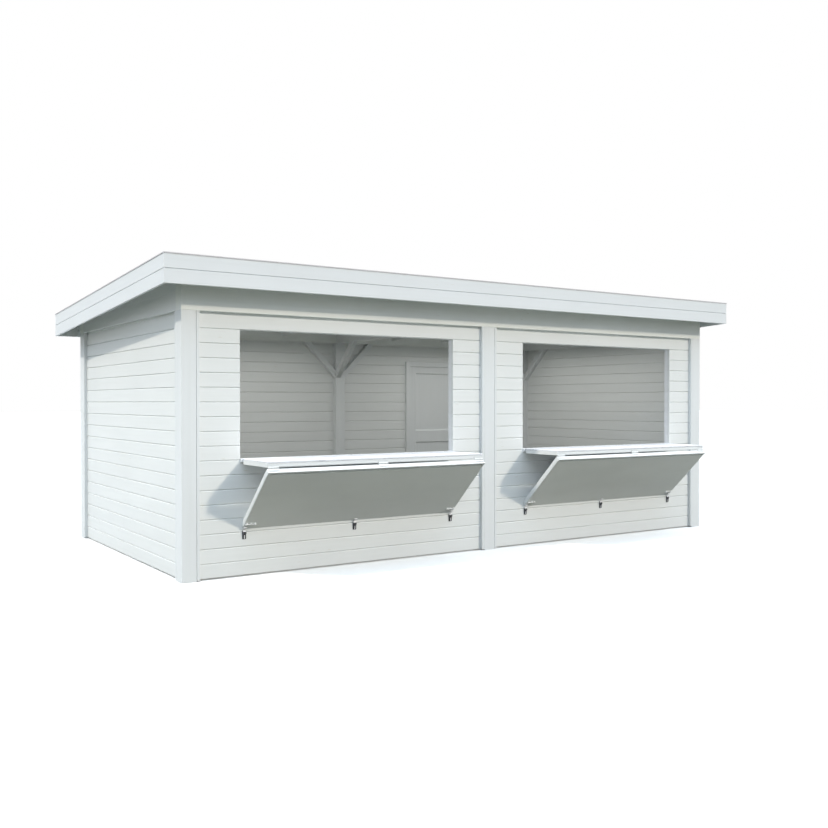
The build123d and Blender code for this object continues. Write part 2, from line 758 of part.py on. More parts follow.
# Rafters between the front riser and the back beam
RAFTER_STEP = SIDE / (RAFTERS_A_SIDE + 1)
RAFTER_PLACES = [
    side * n * RAFTER_STEP for side in (-1, 1) for n in range(1, RAFTERS_A_SIDE + 1)
]
RAFTER_LOW = DECK_UNDER - RAFTER_HEIGHT
with BuildPart() as rafters:
    for x in RAFTER_PLACES:
        with BuildSketch(Plane.YZ.offset(x - RAFTER_WIDTH / 2)):
            with BuildLine():
                Polyline(
                    *sloping(FRONT + RISER, BACK - POST, RAFTER_LOW, DECK_UNDER),
                    close=True,
                )
            make_face()
        extrude(amount=RAFTER_WIDTH)
save(rafters.part, "rafters")

# Lookouts that carry the deck and fascias beyond the walls
LOOKOUT_PLACES = RAFTER_PLACES + [0, -SIDE + RISER, SIDE - RISER]
with BuildPart() as lookouts:
    for x in LOOKOUT_PLACES:
        for y_front, y_back in (
            (EAVES_FRONT + FASCIA, FRONT),
            (BACK, EAVES_BACK - FASCIA),
        ):
            with BuildSketch(Plane.YZ.offset(x - RAFTER_WIDTH / 2)):
                with BuildLine():
                    Polyline(
                        *sloping(y_front, y_back, RAFTER_LOW, DECK_UNDER), close=True
                    )
                make_face()
            extrude(amount=RAFTER_WIDTH)
    for n in range(SIDE_LOOKOUTS):
        middle = FRONT + POST + ACROSS_LENGTH * n / (SIDE_LOOKOUTS - 1)
        for x in (-EAVES_SIDE + FASCIA, SIDE):
            with BuildSketch(Plane.YZ.offset(x)):
                with BuildLine():
                    Polyline(
                        *sloping(
                            middle - RAFTER_WIDTH / 2,
                            middle + RAFTER_WIDTH / 2,
                            DECK_UNDER - SIDE_LOOKOUT_HEIGHT,
                            DECK_UNDER,
                        ),
                        close=True,
                    )
                make_face()
            extrude(amount=OVERHANG - FASCIA)
save(lookouts.part, "lookouts")


# Deck and roof skin between the fascias
def make_sheet(name, low, high):
    """A sloping sheet inside the fascias."""
    with BuildPart() as sheet:
        with BuildSketch(Plane.YZ.offset(-EAVES_SIDE + FASCIA)):
            with BuildLine():
                Polyline(
                    *sloping(EAVES_FRONT + FASCIA, EAVES_BACK - FASCIA, low, high),
                    close=True,
                )
            make_face()
        extrude(amount=2 * (EAVES_SIDE - FASCIA))
    save(sheet.part, name)


make_sheet("roof_deck", DECK_UNDER, DECK_UNDER + DECK)
make_sheet("roof_skin", DECK_UNDER + DECK, DECK_UNDER + DECK + MEMBRANE)


# Fascias and the trim on their top edge, in lengths mitred at the corners
def mitred_plans(out, width):
    """Plans of four lengths this wide whose outer faces stand this far out of the fascia."""
    out_x, in_x = EAVES_SIDE + out, EAVES_SIDE + out - width
    out_front, in_front = EAVES_FRONT - out, EAVES_FRONT - out + width
    out_back, in_back = EAVES_BACK + out, EAVES_BACK + out - width
    plans = {
        "front": [(-out_x, out_front), (out_x, out_front), (in_x, in_front), (-in_x, in_front)],
        "back": [(-out_x, out_back), (-in_x, in_back), (in_x, in_back), (out_x, out_back)],
    }
    for side, way in (("left", -1), ("right", 1)):
        plans[side] = [
            (way * out_x, out_front),
            (way * in_x, in_front),
            (way * in_x, in_back),
            (way * out_x, out_back),
        ]
    return plans


def make_length(plan, low, high):
    """One mitred length between two roof lines."""
    with BuildPart() as length:
        with BuildSketch():
            with BuildLine():
                Polyline(*plan, close=True)
            make_face()
        extrude(amount=high)
        with BuildSketch(Plane.YZ.offset(-EAVES_SIDE - TRIM_OUT)):
            with BuildLine():
                Polyline(
                    *sloping(EAVES_FRONT - TRIM_OUT, EAVES_BACK + TRIM_OUT, low, high),
                    close=True,
                )
            make_face()
        extrude(amount=2 * (EAVES_SIDE + TRIM_OUT), mode=Mode.INTERSECT)
    return length.part


for side, plan in mitred_plans(0, FASCIA).items():
    save(make_length(plan, FASCIA_TOP - FASCIA_HEIGHT, FASCIA_TOP), f"fascia_{side}")
roof_trim = Compound(
    [
        make_length(plan, FASCIA_TOP, FASCIA_TOP + TRIM_HEIGHT).solid()
        for plan in mitred_plans(TRIM_OUT, TRIM_WIDTH).values()
    ]
)
save(roof_trim, "roof_trim")
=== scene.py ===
import math

import bmesh
import bpy
from mathutils import Matrix, Vector


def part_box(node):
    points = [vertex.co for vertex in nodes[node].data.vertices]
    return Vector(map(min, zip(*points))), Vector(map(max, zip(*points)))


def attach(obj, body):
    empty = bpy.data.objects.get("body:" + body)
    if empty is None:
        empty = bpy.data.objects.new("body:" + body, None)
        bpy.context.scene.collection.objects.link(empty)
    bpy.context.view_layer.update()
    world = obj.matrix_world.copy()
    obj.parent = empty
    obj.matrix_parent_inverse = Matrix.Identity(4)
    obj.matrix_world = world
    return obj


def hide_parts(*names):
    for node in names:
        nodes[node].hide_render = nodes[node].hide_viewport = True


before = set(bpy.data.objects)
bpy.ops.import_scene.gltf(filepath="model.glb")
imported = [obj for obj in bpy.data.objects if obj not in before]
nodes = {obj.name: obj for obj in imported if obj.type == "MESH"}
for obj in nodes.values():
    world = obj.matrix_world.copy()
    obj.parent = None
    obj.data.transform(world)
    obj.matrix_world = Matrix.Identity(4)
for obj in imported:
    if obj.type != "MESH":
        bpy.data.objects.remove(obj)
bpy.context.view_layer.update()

# Posts, head beams, risers and knee braces of planed softwood, painted white.
# The beams lie on the posts' tops, and the braces run from post to beam
# behind the boards. The paint is thin enough to show grain and knots.
FRAME_WHITE = (0.81, 0.83, 0.84)
# The head beams, the front riser and the roof planks get a lighter white than the
# posts: painted light, standing in for the light that the roof's overhang keeps off
# them.
BEAM_WHITE_PAINTED_LIGHT = (0.88, 0.90, 0.88)
KNOT_TONE = (0.66, 0.61, 0.53)
GRAIN_TONE = (0.70, 0.72, 0.71)
FINE_GRAIN = (26.0, 1.1)  # noise scale across the grain and along it
BROAD_GRAIN = (5.5, 0.9)
ROW_SHIFT = (7.0, 7.0, 3.0)  # how far the pattern moves between rows of boards
GRAIN_SHARE = 0.22  # how much of the grain's tone shows through the paint
KNOT_SHARE = 0.55
WASH_SHARE = 0.35
WASH_DARK = 0.93  # the darkest wash, as a share of the paint's tone
PATCHES = (1.3, 2.0)  # scale and detail of the wash's noise
PATCH_RANGE = (0.35, 0.7)
FIBRES = (1.0, 4.0, 0.6)  # scale, detail and roughness of the grain's noise
FIBRE_RANGE = (0.35, 0.8)
KNOT_RANGE = (0.03, 0.13)  # from a knot's middle to where it has faded
KNOTTY = (0.7, 0.0)  # scale and detail of the noise that says where knots show
KNOTTY_RANGE = (0.56, 0.62)
WOOD_ROUGH = (0.42, 0.16)  # the least roughness, and what the grain adds
WOOD_RELIEF = (0.0006, 0.5)  # height in metres and strength
KNOT_RELIEF = 0.5  # height of a knot beside the grain's
AXES = {"X": 0, "Y": 1, "Z": 2}


class Reading:
    """A number that a finish works out at each point of a surface."""

    def __init__(self, finish, socket):
        self.finish = finish
        self.socket = socket

    def maths(self, operation, *values):
        node = self.finish.node("ShaderNodeMath", {"operation": operation}, values)
        return Reading(self.finish, node.outputs[0])

    def __add__(self, other):
        return self.maths("ADD", self, other)

    def __radd__(self, other):
        return self.maths("ADD", other, self)

    def __sub__(self, other):
        return self.maths("SUBTRACT", self, other)

    def __rsub__(self, other):
        return self.maths("SUBTRACT", other, self)

    def __mul__(self, other):
        return self.maths("MULTIPLY", self, other)

    def __rmul__(self, other):
        return self.maths("MULTIPLY", other, self)

    def __truediv__(self, other):
        return self.maths("DIVIDE", self, other)

    def floor(self):
        return self.maths("FLOOR", self)

    def between(self, low, high):
        """Rises from 0 to 1 as the reading goes from low to high."""
        node = self.finish.node(
            "ShaderNodeMapRange",
            {"interpolation_type": "SMOOTHSTEP"},
            {"Value": self, "From Min": low, "From Max": high},
        )
        return Reading(self.finish, node.outputs[0])


def add_node(tree, kind, settings=None, values=()):
    """Adds a node: its settings first, then the values or links of its sockets."""
    node = tree.nodes.new(kind)
    for setting, value in (settings or {}).items():
        setattr(node, setting, value)
    pairs = values.items() if isinstance(values, dict) else enumerate(values)
    for key, value in pairs:
        source = value.socket if isinstance(value, Reading) else value
        if isinstance(source, bpy.types.NodeSocket):
            tree.links.new(source, node.inputs[key])
        else:
            node.inputs[key].default_value = source
    return node


class Finish:
    """A material on one Principled surface, worked out from Object coordinates."""

    def __init__(self, name, roughness=0.5, metallic=0.0):
        self.material = bpy.data.materials.new(name)
        self.material.use_nodes = True
        self.tree = self.material.node_tree
        self.surface = self.tree.nodes["Principled BSDF"]
        self.surface.inputs["Roughness"].default_value = roughness
        self.surface.inputs["Metallic"].default_value = metallic
        self.place = self.node("ShaderNodeTexCoord").outputs["Object"]

    def node(self, kind, settings=None, values=()):
        return add_node(self.tree, kind, settings, values)

    def stretched(self, scale, vector=None):
        """Object coordinates, or another vector, stretched."""
        source = self.place if vector is None else vector
        values = {"Vector": source, "Scale": scale}
        return self.node("ShaderNodeMapping", None, values).outputs[0]

    def noise(self, vector, scale, detail, roughness=0.5):
        """Smooth noise between 0 and 1."""
        values = {"Vector": vector, "Scale": scale}
        values.update({"Detail": detail, "Roughness": roughness})
        return Reading(self, self.node("ShaderNodeTexNoise", None, values).outputs[0])

    def blend(self, factor, first, second):
        """A colour between two colours."""
        node = self.node(
            "ShaderNodeMix", {"data_type": "RGBA"}, {0: factor, 6: first, 7: second}
        )
        return node.outputs[2]

    def colour(self, source):
        """Gives the surface this colour."""
        self.tree.links.new(source, self.surface.inputs["Base Color"])

    def rough(self, reading):
        """Gives the surface this roughness."""
        self.tree.links.new(reading.socket, self.surface.inputs["Roughness"])

    def relief(self, height, distance, strength):
        """Raises the surface by a reading, up to a distance in metres."""
        values = {"Strength": strength, "Distance": distance, "Height": height}
        bump = self.node("ShaderNodeBump", None, values)
        self.tree.links.new(bump.outputs[0], self.surface.inputs["Normal"])


def opaque(colour, share=1.0):
    """A colour, or a darker share of it, with its alpha."""
    return (*(channel * share for channel in colour), 1.0)


def painted_wood(name, tone, grain, rows=None, knots=1.0):
    """White paint on softwood whose grain runs along one axis.

    rows gives the lowest height and the pitch of level boards, each with its own tone,
    and knots is how strongly knots show.
    """
    finish = Finish(name)
    along = AXES[grain]
    fine, broad = [FINE_GRAIN[0]] * 3, [BROAD_GRAIN[0]] * 3
    fine[along], broad[along] = FINE_GRAIN[1], BROAD_GRAIN[1]
    wash = finish.noise(finish.place, *PATCHES).between(*PATCH_RANGE) * WASH_SHARE
    place = finish.place
    if rows:
        split = finish.node("ShaderNodeSeparateXYZ", None, [place])
        row = ((Reading(finish, split.outputs["Z"]) - rows[0]) / rows[1]).floor()
        line = {"noise_dimensions": "1D"}
        white = finish.node("ShaderNodeTexWhiteNoise", line, {"W": row})
        shift = Reading(finish, white.outputs[0])
        wash = wash + shift * WASH_SHARE
        moves = [shift * reach for reach in ROW_SHIFT]
        moved = finish.node("ShaderNodeCombineXYZ", None, moves).outputs[0]
        add = {"operation": "ADD"}
        place = finish.node("ShaderNodeVectorMath", add, [place, moved]).outputs[0]
    wide = finish.stretched(broad, place)
    lines = finish.noise(finish.stretched(fine, place), *FIBRES)
    cells = finish.node("ShaderNodeTexVoronoi", None, {"Vector": wide})
    knot = 1.0 - Reading(finish, cells.outputs["Distance"]).between(*KNOT_RANGE)
    some = finish.noise(wide, *KNOTTY).between(*KNOTTY_RANGE)
    mark = knot * some * (KNOT_SHARE * knots)
    streaks = lines.between(*FIBRE_RANGE) * GRAIN_SHARE
    paint = finish.blend(streaks, opaque(tone), opaque(GRAIN_TONE))
    paint = finish.blend(mark, paint, opaque(KNOT_TONE))
    finish.colour(finish.blend(wash, paint, opaque(tone, WASH_DARK)))
    finish.rough(WOOD_ROUGH[0] + WOOD_ROUGH[1] * lines)
    finish.relief(lines + mark * KNOT_RELIEF, *WOOD_RELIEF)
    return finish.material


post_paint = painted_wood("painted upright timber", FRAME_WHITE, "Z")
along_paint = painted_wood("painted level timber", FRAME_WHITE, "X")
across_paint = painted_wood("painted cross timber", FRAME_WHITE, "Y")
beam_paint_with_painted_light = painted_wood("head beam paint with painted light", BEAM_WHITE_PAINTED_LIGHT, "X")


def dress(material, *names):
    """Gives CAD nodes a finish in place of their plain one."""
    for name in names:
        for slot in nodes[name].material_slots:
            slot.material = material


dress(post_paint, "corner_posts", "middle_posts")


def finished(mesh, name, material, body, slot, *replaced):
    """Makes a bmesh a piece that rides on a body and stands for CAD nodes."""
    data = bpy.data.meshes.new(name)
    mesh.to_mesh(data)
    mesh.free()
    data.materials.append(material)
    piece = bpy.data.objects.new(name, data)
    bpy.context.scene.collection.objects.link(piece)
    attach(piece, body)
    if replaced:
        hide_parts(*replaced)


def add_box(mesh, low, high):
    """Adds a box between two corners."""
    low, high = Vector(low), Vector(high)
    place = Matrix.Translation((low + high) / 2) @ Matrix.Diagonal((*(high - low), 1.0))
    bmesh.ops.create_cube(mesh, size=1.0, matrix=place)


def ease(mesh, edges, width, segments=1):
    """Bevels edges."""
    bmesh.ops.bevel(
        mesh,
        geom=list(edges),
        offset=width,
        offset_type="OFFSET",
        affect="EDGES",
        segments=segments,
        profile=0.5,
        material=-1,
        clamp_overlap=True,
    )


NO_LENGTH = 1e-6


def edges_along(mesh, along):
    """The edges that run along one axis."""
    axis = AXES[along]
    others = [n for n in range(3) if n != axis]
    chosen = []
    for edge in mesh.edges:
        way = edge.verts[1].co - edge.verts[0].co
        level = all(abs(way[n]) < NO_LENGTH for n in others)
        if level and abs(way[axis]) > NO_LENGTH:
            chosen.append(edge)
    return chosen


PLANED = 0.002  # how far a timber's corners are taken off
CORNER = 0.5  # radians between the faces of an edge that counts as a corner
SAME_PLACE = 1e-5  # points of the CAD mesh nearer than this are merged
FLAT = math.radians(1.0)  # faces that turn less than this become one


def planed(name, node, material, slot, width=PLANED, body="kiosk"):
    """A CAD node's shape again, with its corners taken off by a plane."""
    mesh = bmesh.new()
    mesh.from_mesh(nodes[node].data)
    bmesh.ops.remove_doubles(mesh, verts=mesh.verts, dist=SAME_PLACE)
    bmesh.ops.dissolve_limit(
        mesh, angle_limit=FLAT, verts=mesh.verts, edges=mesh.edges
    )
    whole = [edge for edge in mesh.edges if edge.is_manifold]
    ease(mesh, [edge for edge in whole if edge.calc_face_angle() > CORNER], width)
    finished(mesh, name, material, body, slot, node)


for name, node, material in (
    ("front_head_beam", "beam_front", beam_paint_with_painted_light),
    ("back_head_beam", "beam_back", beam_paint_with_painted_light),
    ("front_riser", "riser_front", beam_paint_with_painted_light),
    ("knee_braces_along", "braces_along", along_paint),
    ("cross_beams", "beams_across", across_paint),
    ("cross_risers", "risers_across", across_paint),
    ("knee_braces_across", "braces_across", across_paint),
):
    planed(name, node, material, "frame_paint")

# Battens nailed to the posts in front of the boards, thin softwood flush with the
# frame's faces. In front and behind, those on a bay's right side are tight to their
# post, and the others have shrunk off theirs.
POST = 0.120
BATTEN = 0.028
BATTEN_GAP = 0.0025  # along the post, where a batten has shrunk
BATTEN_EASE = 0.0015
frame_low, frame_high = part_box("corner_posts")
wall_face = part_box("front_wall_left")[0].y
RECESS = wall_face - frame_low.y
batten_mesh = bmesh.new()
batten_foot, batten_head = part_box("battens")[0].z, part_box("battens")[1].z
inner_x = frame_high.x - POST
for x, way in ((-inner_x, 1), (-POST / 2, -1), (POST / 2, 1), (inner_x, -1)):
    gap = BATTEN_GAP if way > 0 else 0.0
    near, far = sorted((x + way * gap, x + way * BATTEN))
    for y in (frame_low.y, frame_high.y - RECESS):
        add_box(batten_mesh, (near, y, batten_foot), (far, y + RECESS, batten_head))
for y, way in ((frame_low.y + POST, 1), (frame_high.y - POST, -1)):
    near, far = sorted((y + way * BATTEN_GAP, y + way * BATTEN))
    for x in (frame_low.x, frame_high.x - RECESS):
        add_box(batten_mesh, (x, near, batten_foot), (x + RECESS, far, batten_head))
ease(batten_mesh, edges_along(batten_mesh, "Z"), BATTEN_EASE)
finished(batten_mesh, "wall_battens", post_paint, "kiosk", "frame_paint", "battens")

# Walls of level tongued boards with bevelled edges, painted white like the frame.
# The boards stop at the battens, and each wall keeps the height and pitch of the rest,
# so the joints run round the building. Openings are cut square through them.
BOARD_PITCH = 0.1155
BOARD_EDGE = 0.005
BOARD_GAP = 0.002
TONGUE = 0.008
BOARD_WHITE = (0.85, 0.865, 0.86)
SLIVER = 0.010  # a strip of board narrower than this is left out
LINING = 0.020  # thickness of an opening's lining
WALL_FOOT, WALL_TOP = (corner.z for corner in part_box("front_wall_left"))
BOARD_ROWS = int((WALL_TOP - WALL_FOOT) / BOARD_PITCH)
board_paint = {
    along: painted_wood(
        f"painted wall board {along}", BOARD_WHITE, along, (WALL_FOOT, BOARD_PITCH)
    )
    for along in "XY"
}


def join(mesh, other):
    """Adds one bmesh to another and frees it."""
    data = bpy.data.meshes.new("joined")
    other.to_mesh(data)
    other.free()
    mesh.from_mesh(data)
    bpy.data.meshes.remove(data)


def wall_spans(low, high, foot, head, hole):
    """The stretches of one board that stay beside, under and over a hole."""
    if hole is None or head <= hole[2] or foot >= hole[3]:
        return [(low, high, foot, head)]
    spans = [(low, hole[0], foot, head), (hole[1], high, foot, head)]
    if hole[2] - foot > SLIVER:
        spans.append((hole[0], hole[1], foot, hole[2]))
    if head - hole[3] > SLIVER:
        spans.append((hole[0], hole[1], hole[3], head))
    return spans


def boarded_wall(name, along, replaced, hole=None):
    """Boards in place of CAD walls: hole is (low, high, foot, head)."""
    boxes = [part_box(node) for node in replaced]
    low = Vector([min(box[0][n] for box in boxes) for n in range(3)])
    high = Vector([max(box[1][n] for box in boxes) for n in range(3)])
    axis = AXES[along]
    depth = 1 - axis
    middle = (low[depth] + high[depth]) / 2
    boards, tongues = bmesh.new(), bmesh.new()
    for row in range(BOARD_ROWS):
        foot = WALL_FOOT + row * BOARD_PITCH
        for span in wall_spans(low[axis], high[axis], foot, foot + BOARD_PITCH, hole):
            corner, far = low.copy(), high.copy()
            corner[axis], far[axis], corner.z, far.z = span
            far.z -= BOARD_GAP
            add_box(boards, corner, far)
            tongue_top = WALL_TOP if row == BOARD_ROWS - 1 else far.z + BOARD_GAP
            corner[depth], far[depth] = middle - TONGUE / 2, middle + TONGUE / 2
            corner.z, far.z = far.z, tongue_top
            add_box(tongues, corner, far)
    ease(boards, edges_along(boards, along), BOARD_EDGE)
    join(boards, tongues)
    finished(boards, name, board_paint[along], "kiosk", "board_paint", *replaced)


def opening_of(lining):
    """The clear opening inside a lining: (low, high, foot, head)."""
    low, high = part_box(lining)
    return (low.x + LINING, high.x - LINING, low.z + LINING, high.z - LINING)


for side in ("left", "right"):
    opening = opening_of(f"serving_lining_{side}")
    boarded_wall(f"front_boards_{side}", "X", [f"front_wall_{side}"], opening)
    boarded_wall(f"side_boards_{side}", "Y", [f"side_wall_{side}"])
boarded_wall("back_boards_plain", "X", ["back_wall_left"])
door_low, door_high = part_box("door_frame")
boarded_wall(
    "back_boards_door",
    "X",
    ["back_wall_hinge_side", "back_wall_handle_side", "back_wall_over_door"],
    (door_low.x, door_high.x, 0.0, door_high.z),
)

# Linings and sills of the serving openings: planed boards behind the wall boards,
# with a sill that stands out through the wall to carry the counter's hinges.
# The linings get a lighter white than the walls: painted light on the openings' side
# faces, which the lamps light too little.
LINING_WHITE_PAINTED_LIGHT = (0.90, 0.91, 0.93)
lining_paint_with_painted_light = painted_wood("lining paint with painted light", LINING_WHITE_PAINTED_LIGHT, "X", knots=0.5)
for side in ("left", "right"):
    node = f"serving_lining_{side}"
    planed(f"opening_lining_{side}", node, lining_paint_with_painted_light, "frame_paint")

# Folding hatches: a smooth sheet inside and level boards outside, with a strip at
# each end, painted white. The counter leaf hangs on the sill and the prop leaf on the
# counter's front edge. The prop's end is cut upright and stands against the wall.
LEAF = 0.045
SHEET = 0.012
LEAF_EASE = 0.0015
END_STRIP = 0.020
PIN_GAP = 0.007  # from a hinge pin to the edge of its leaf
BOARDS_BACK = 0.005  # how far the prop's boards stop short of that edge
PROP_LENGTH = 0.701
PROP_WALL_GAP = 0.0056
EDGE_STRIP = 0.015  # strip along the prop's upper edge, proud of its sheet
EDGE_STRIP_PROUD = 0.004
PROP_FACE = LEAF - EDGE_STRIP_PROUD
SHEET_DOWN = 0.016  # open band between that strip and the sheet
CORNER_PLATE = (0.022, 0.034, 0.003)  # along the leaf, across it and how far proud
NAIL = (0.0035, 0.00245, 0.0008)  # radius of a filled head below and above, and height
NAIL_STEP = 0.30
NAIL_ROWS = (0.022, 0.045)  # from the sheet's two long edges
LEAF_WHITE = (0.80, 0.82, 0.82)
COUNTER_WHITE = (0.79, 0.80, 0.84)
SCUFF_TONE = (0.50, 0.50, 0.54)
COUNTER_SCUFFS = 0.6  # how strongly they show
DASHES = ((12.0, 55.0, 55.0), 1.0, 1.0)  # stretch, scale and detail of the scuffs
DASH_RANGE = (0.64, 0.70)
STIPPLE = (420.0, 2.0)  # scale and detail of the roller's marks
CLOUD = ((0.8, 2.0, 2.0), 1.6, 3.0)  # stretch, scale and detail
CLOUD_RANGE = (0.3, 0.75)
CLOUD_DARK = 0.94  # its darkest part, as a share of the paint's tone
SHEET_ROUGH = (0.52, 0.12)
SHEET_RELIEF = (0.0003, 0.4)


def sheet_paint(name, tone, scuffs=0.0):
    """Rolled white paint on a smooth sheet; scuffs is how strongly its marks show."""
    finish = Finish(name)
    stipple = finish.noise(finish.place, *STIPPLE)
    cloud = finish.noise(finish.stretched(CLOUD[0]), *CLOUD[1:]).between(*CLOUD_RANGE)
    paint = finish.blend(cloud, opaque(tone), opaque(tone, CLOUD_DARK))
    if scuffs:
        dashes = finish.noise(finish.stretched(DASHES[0]), *DASHES[1:])
        worn = dashes.between(*DASH_RANGE) * scuffs
        paint = finish.blend(worn, paint, opaque(SCUFF_TONE))
    finish.colour(paint)
    finish.rough(SHEET_ROUGH[0] + SHEET_ROUGH[1] * stipple)
    finish.relief(stipple, *SHEET_RELIEF)
    return finish.material


leaf_paint = sheet_paint("painted hatch sheet", LEAF_WHITE)
counter_paint = sheet_paint("painted counter sheet", COUNTER_WHITE, COUNTER_SCUFFS)


def leaf_place(pin, across, out):
    """Takes (x, across the leaf, out of it) to a place in the kiosk.

    pin, across and out are pairs in Y and Z.
    """
    return Matrix(
        (
            (1.0, 0.0, 0.0, 0.0),
            (0.0, across[0], out[0], pin[0]),
            (0.0, across[1], out[1], pin[1]),
            (0.0, 0.0, 0.0, 1.0),
        )
    )


def board_lines(pin_height, low, high):
    """Where the boards' joints cross a leaf whose pin is this high when it is shut."""
    lines = [WALL_FOOT + row * BOARD_PITCH - pin_height for row in range(BOARD_ROWS)]
    inner = [line for line in lines if low + SLIVER < line < high - SLIVER]
    return [low, *inner, high]


def cut_off(mesh, place, way):
    """Cuts a mesh at a plane, drops what lies beyond it and closes the cut."""
    cut = bmesh.ops.bisect_plane(
        mesh,
        geom=mesh.verts[:] + mesh.edges[:] + mesh.faces[:],
        plane_co=place,
        plane_no=way,
        clear_outer=True,
    )
    rim = [part for part in cut["geom_cut"] if isinstance(part, bmesh.types.BMEdge)]
    bmesh.ops.holes_fill(mesh, edges=rim)


def laid(mesh, place, end=None):
    """Puts a leaf's piece in its place and cuts it off at the wall."""
    bmesh.ops.transform(mesh, matrix=place, verts=mesh.verts)
    if end is not None:
        cut_off(mesh, (0.0, end, 0.0), (0.0, 1.0, 0.0))
    bmesh.ops.recalc_face_normals(mesh, faces=mesh.faces)
    return mesh


def on_leaf(mesh, name, material, leaf, side, slot="leaf_paint", node=None):
    """Makes a bmesh a piece of one side's counter or prop, in place of a node."""
    replaced = f"{node or leaf}_{side}"
    finished(mesh, f"{name}_{side}", material, f"{side}_{leaf}", slot, replaced)


def leaf_back(x_low, x_high, lines):
    """Boards with bevelled joints between two end strips, behind a sheet."""
    mesh = bmesh.new()
    behind = LEAF - SHEET
    near, far = x_low + END_STRIP, x_high - END_STRIP
    for low, high in zip(lines, lines[1:]):
        add_box(mesh, (near, low, 0.0), (far, high - BOARD_GAP, behind))
    ease(mesh, edges_along(mesh, "X"), BOARD_EDGE)
    strips = bmesh.new()
    for start in (x_low, far):
        add_box(strips, (start, lines[0], 0.0), (start + END_STRIP, lines[-1], behind))
    ease(strips, strips.edges, LEAF_EASE)
    join(mesh, strips)
    return mesh


def leaf_sheet(x_low, x_high, low, high, face):
    """The sheet of a leaf with its filled nail heads, up to this height of its face."""
    mesh = bmesh.new()
    add_box(mesh, (x_low, low, LEAF - SHEET), (x_high, high, face))
    ease(mesh, mesh.edges, LEAF_EASE)
    steps = round((x_high - x_low) / NAIL_STEP)
    for row in (low + NAIL_ROWS[0], high - NAIL_ROWS[1]):
        for n in range(steps):
            x = x_low + (n + 0.5) * (x_high - x_low) / steps
            bmesh.ops.create_cone(
                mesh,
                cap_ends=True,
                segments=10,
                radius1=NAIL[0],
                radius2=NAIL[1],
                depth=NAIL[2],
                matrix=Matrix.Translation((x, row, face)),
            )
    return mesh


prop_end = wall_face - PROP_WALL_GAP
props = {}
for side in ("left", "right"):
    low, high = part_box(f"counter_{side}")
    sill_pin = (high.y + PIN_GAP, high.z)
    fold_pin = (low.y - PIN_GAP, low.z)
    across = sill_pin[0] - fold_pin[0]
    edge = across - PIN_GAP
    place = leaf_place((sill_pin[0], low.z), (-1.0, 0.0), (0.0, 1.0))
    boards = leaf_back(low.x, high.x, board_lines(sill_pin[1], PIN_GAP, edge))
    on_leaf(laid(boards, place), "counter_boards", along_paint, "counter", side)
    top = leaf_sheet(low.x, high.x, PIN_GAP, edge, LEAF)
    on_leaf(laid(top, place), "counter_top", counter_paint, "counter", side)

    lean = math.asin((prop_end - fold_pin[0]) / math.hypot(PROP_LENGTH, LEAF))
    lean += math.atan(LEAF / PROP_LENGTH)
    down, out = math.cos(lean), math.sin(lean)
    place = leaf_place(fold_pin, (out, -down), (-down, -out))
    props[side] = (place, low.x, high.x)
    lines = board_lines(sill_pin[1] + across, PIN_GAP + BOARDS_BACK, PROP_LENGTH)
    boards = laid(leaf_back(low.x, high.x, lines), place, prop_end)
    on_leaf(boards, "prop_boards", along_paint, "prop", side)
    start = PIN_GAP + EDGE_STRIP + SHEET_DOWN
    sheet = leaf_sheet(low.x, high.x, start, PROP_LENGTH, PROP_FACE)
    on_leaf(laid(sheet, place, prop_end), "prop_sheet", leaf_paint, "prop", side)
    strip = bmesh.new()
    strip_low = PIN_GAP + EDGE_STRIP
    add_box(strip, (low.x, PIN_GAP, LEAF - SHEET), (high.x, strip_low, LEAF))
    long, wide, proud = CORNER_PLATE
    for x in (low.x, high.x - long):
        far = (x + long, PIN_GAP + wide, PROP_FACE + proud)
        add_box(strip, (x, strip_low, LEAF - SHEET), far)
    ease(strip, strip.edges, LEAF_EASE)
    on_leaf(laid(strip, place), "prop_edge_strip", along_paint, "prop", side)

# Hinges of the hatches: folded steel with rolled knuckles on the sill, on both edges
# of the counters and on the props, painted over with the leaves.
HINGE_WHITE = (0.74, 0.76, 0.77)
hinge_paint = sheet_paint("painted hinge", HINGE_WHITE)
dress(hinge_paint, "sill_hinges")
for kind in ("counter", "fold", "prop"):
    dress(hinge_paint, f"{kind}_hinges_left", f"{kind}_hinges_right")

# Toggle latches under the props: a dark plate on the boards with two cheeks, a bright
# catch above, and a dark forked lever on a pin, which leans out at its top. A bright
# spring shows between the fork's legs, and four screws hold each plate.
ZINC = (0.62, 0.63, 0.65)
LEVER_DARK = (0.045, 0.046, 0.049)
PLATE_DARK = (0.16, 0.16, 0.17)
KEEP_BRIGHT = (0.86, 0.86, 0.88)
PLATING = (60.0, 3.0)  # scale and detail of the plating's cloud
PLATING_RANGE = (0.35, 0.7)
PLATING_DARK = 0.75
PLATING_ROUGH = 0.18  # what the cloud adds
PITS = (900.0, 1.0)  # scale and detail
PIT_RELIEF = (0.0002, 0.3)
LATCH_PLATE = (0.034, 0.072, 0.0025)  # width, height and thickness
LATCH_CATCH = (0.026, 0.013, 0.009)  # width, height and how far it stands out
LATCH_ROUND = 0.004  # radius of the plate's and cheeks' corners
CATCH_EASE = 0.002
LATCH_SCREW = (0.0115, 0.005)  # from the plate's middle line and from its ends
LATCH_PIN_DOWN = 0.022
LATCH_PIN = (0.029, 0.003)  # length and radius
CHEEK = (0.002, 0.006, 0.010)  # thickness, and reach under and over the pin
CHEEK_OUT = 0.0135  # of its middle, from the plate's middle line
CHEEK_PAST = 0.004  # how far it stands out past the lever's back
LEVER = (0.0115, 0.004, 0.0012)  # half its width, thickness and ease
LEVER_OUT = 0.0125  # of the lever's back, at its pin
LEVER_LEAN = math.radians(9.0)
FORK = 0.008  # width of a leg
FORK_LEVELS = (-0.047, -0.016, 0.006)  # legs' ends, fork and head, from the pin
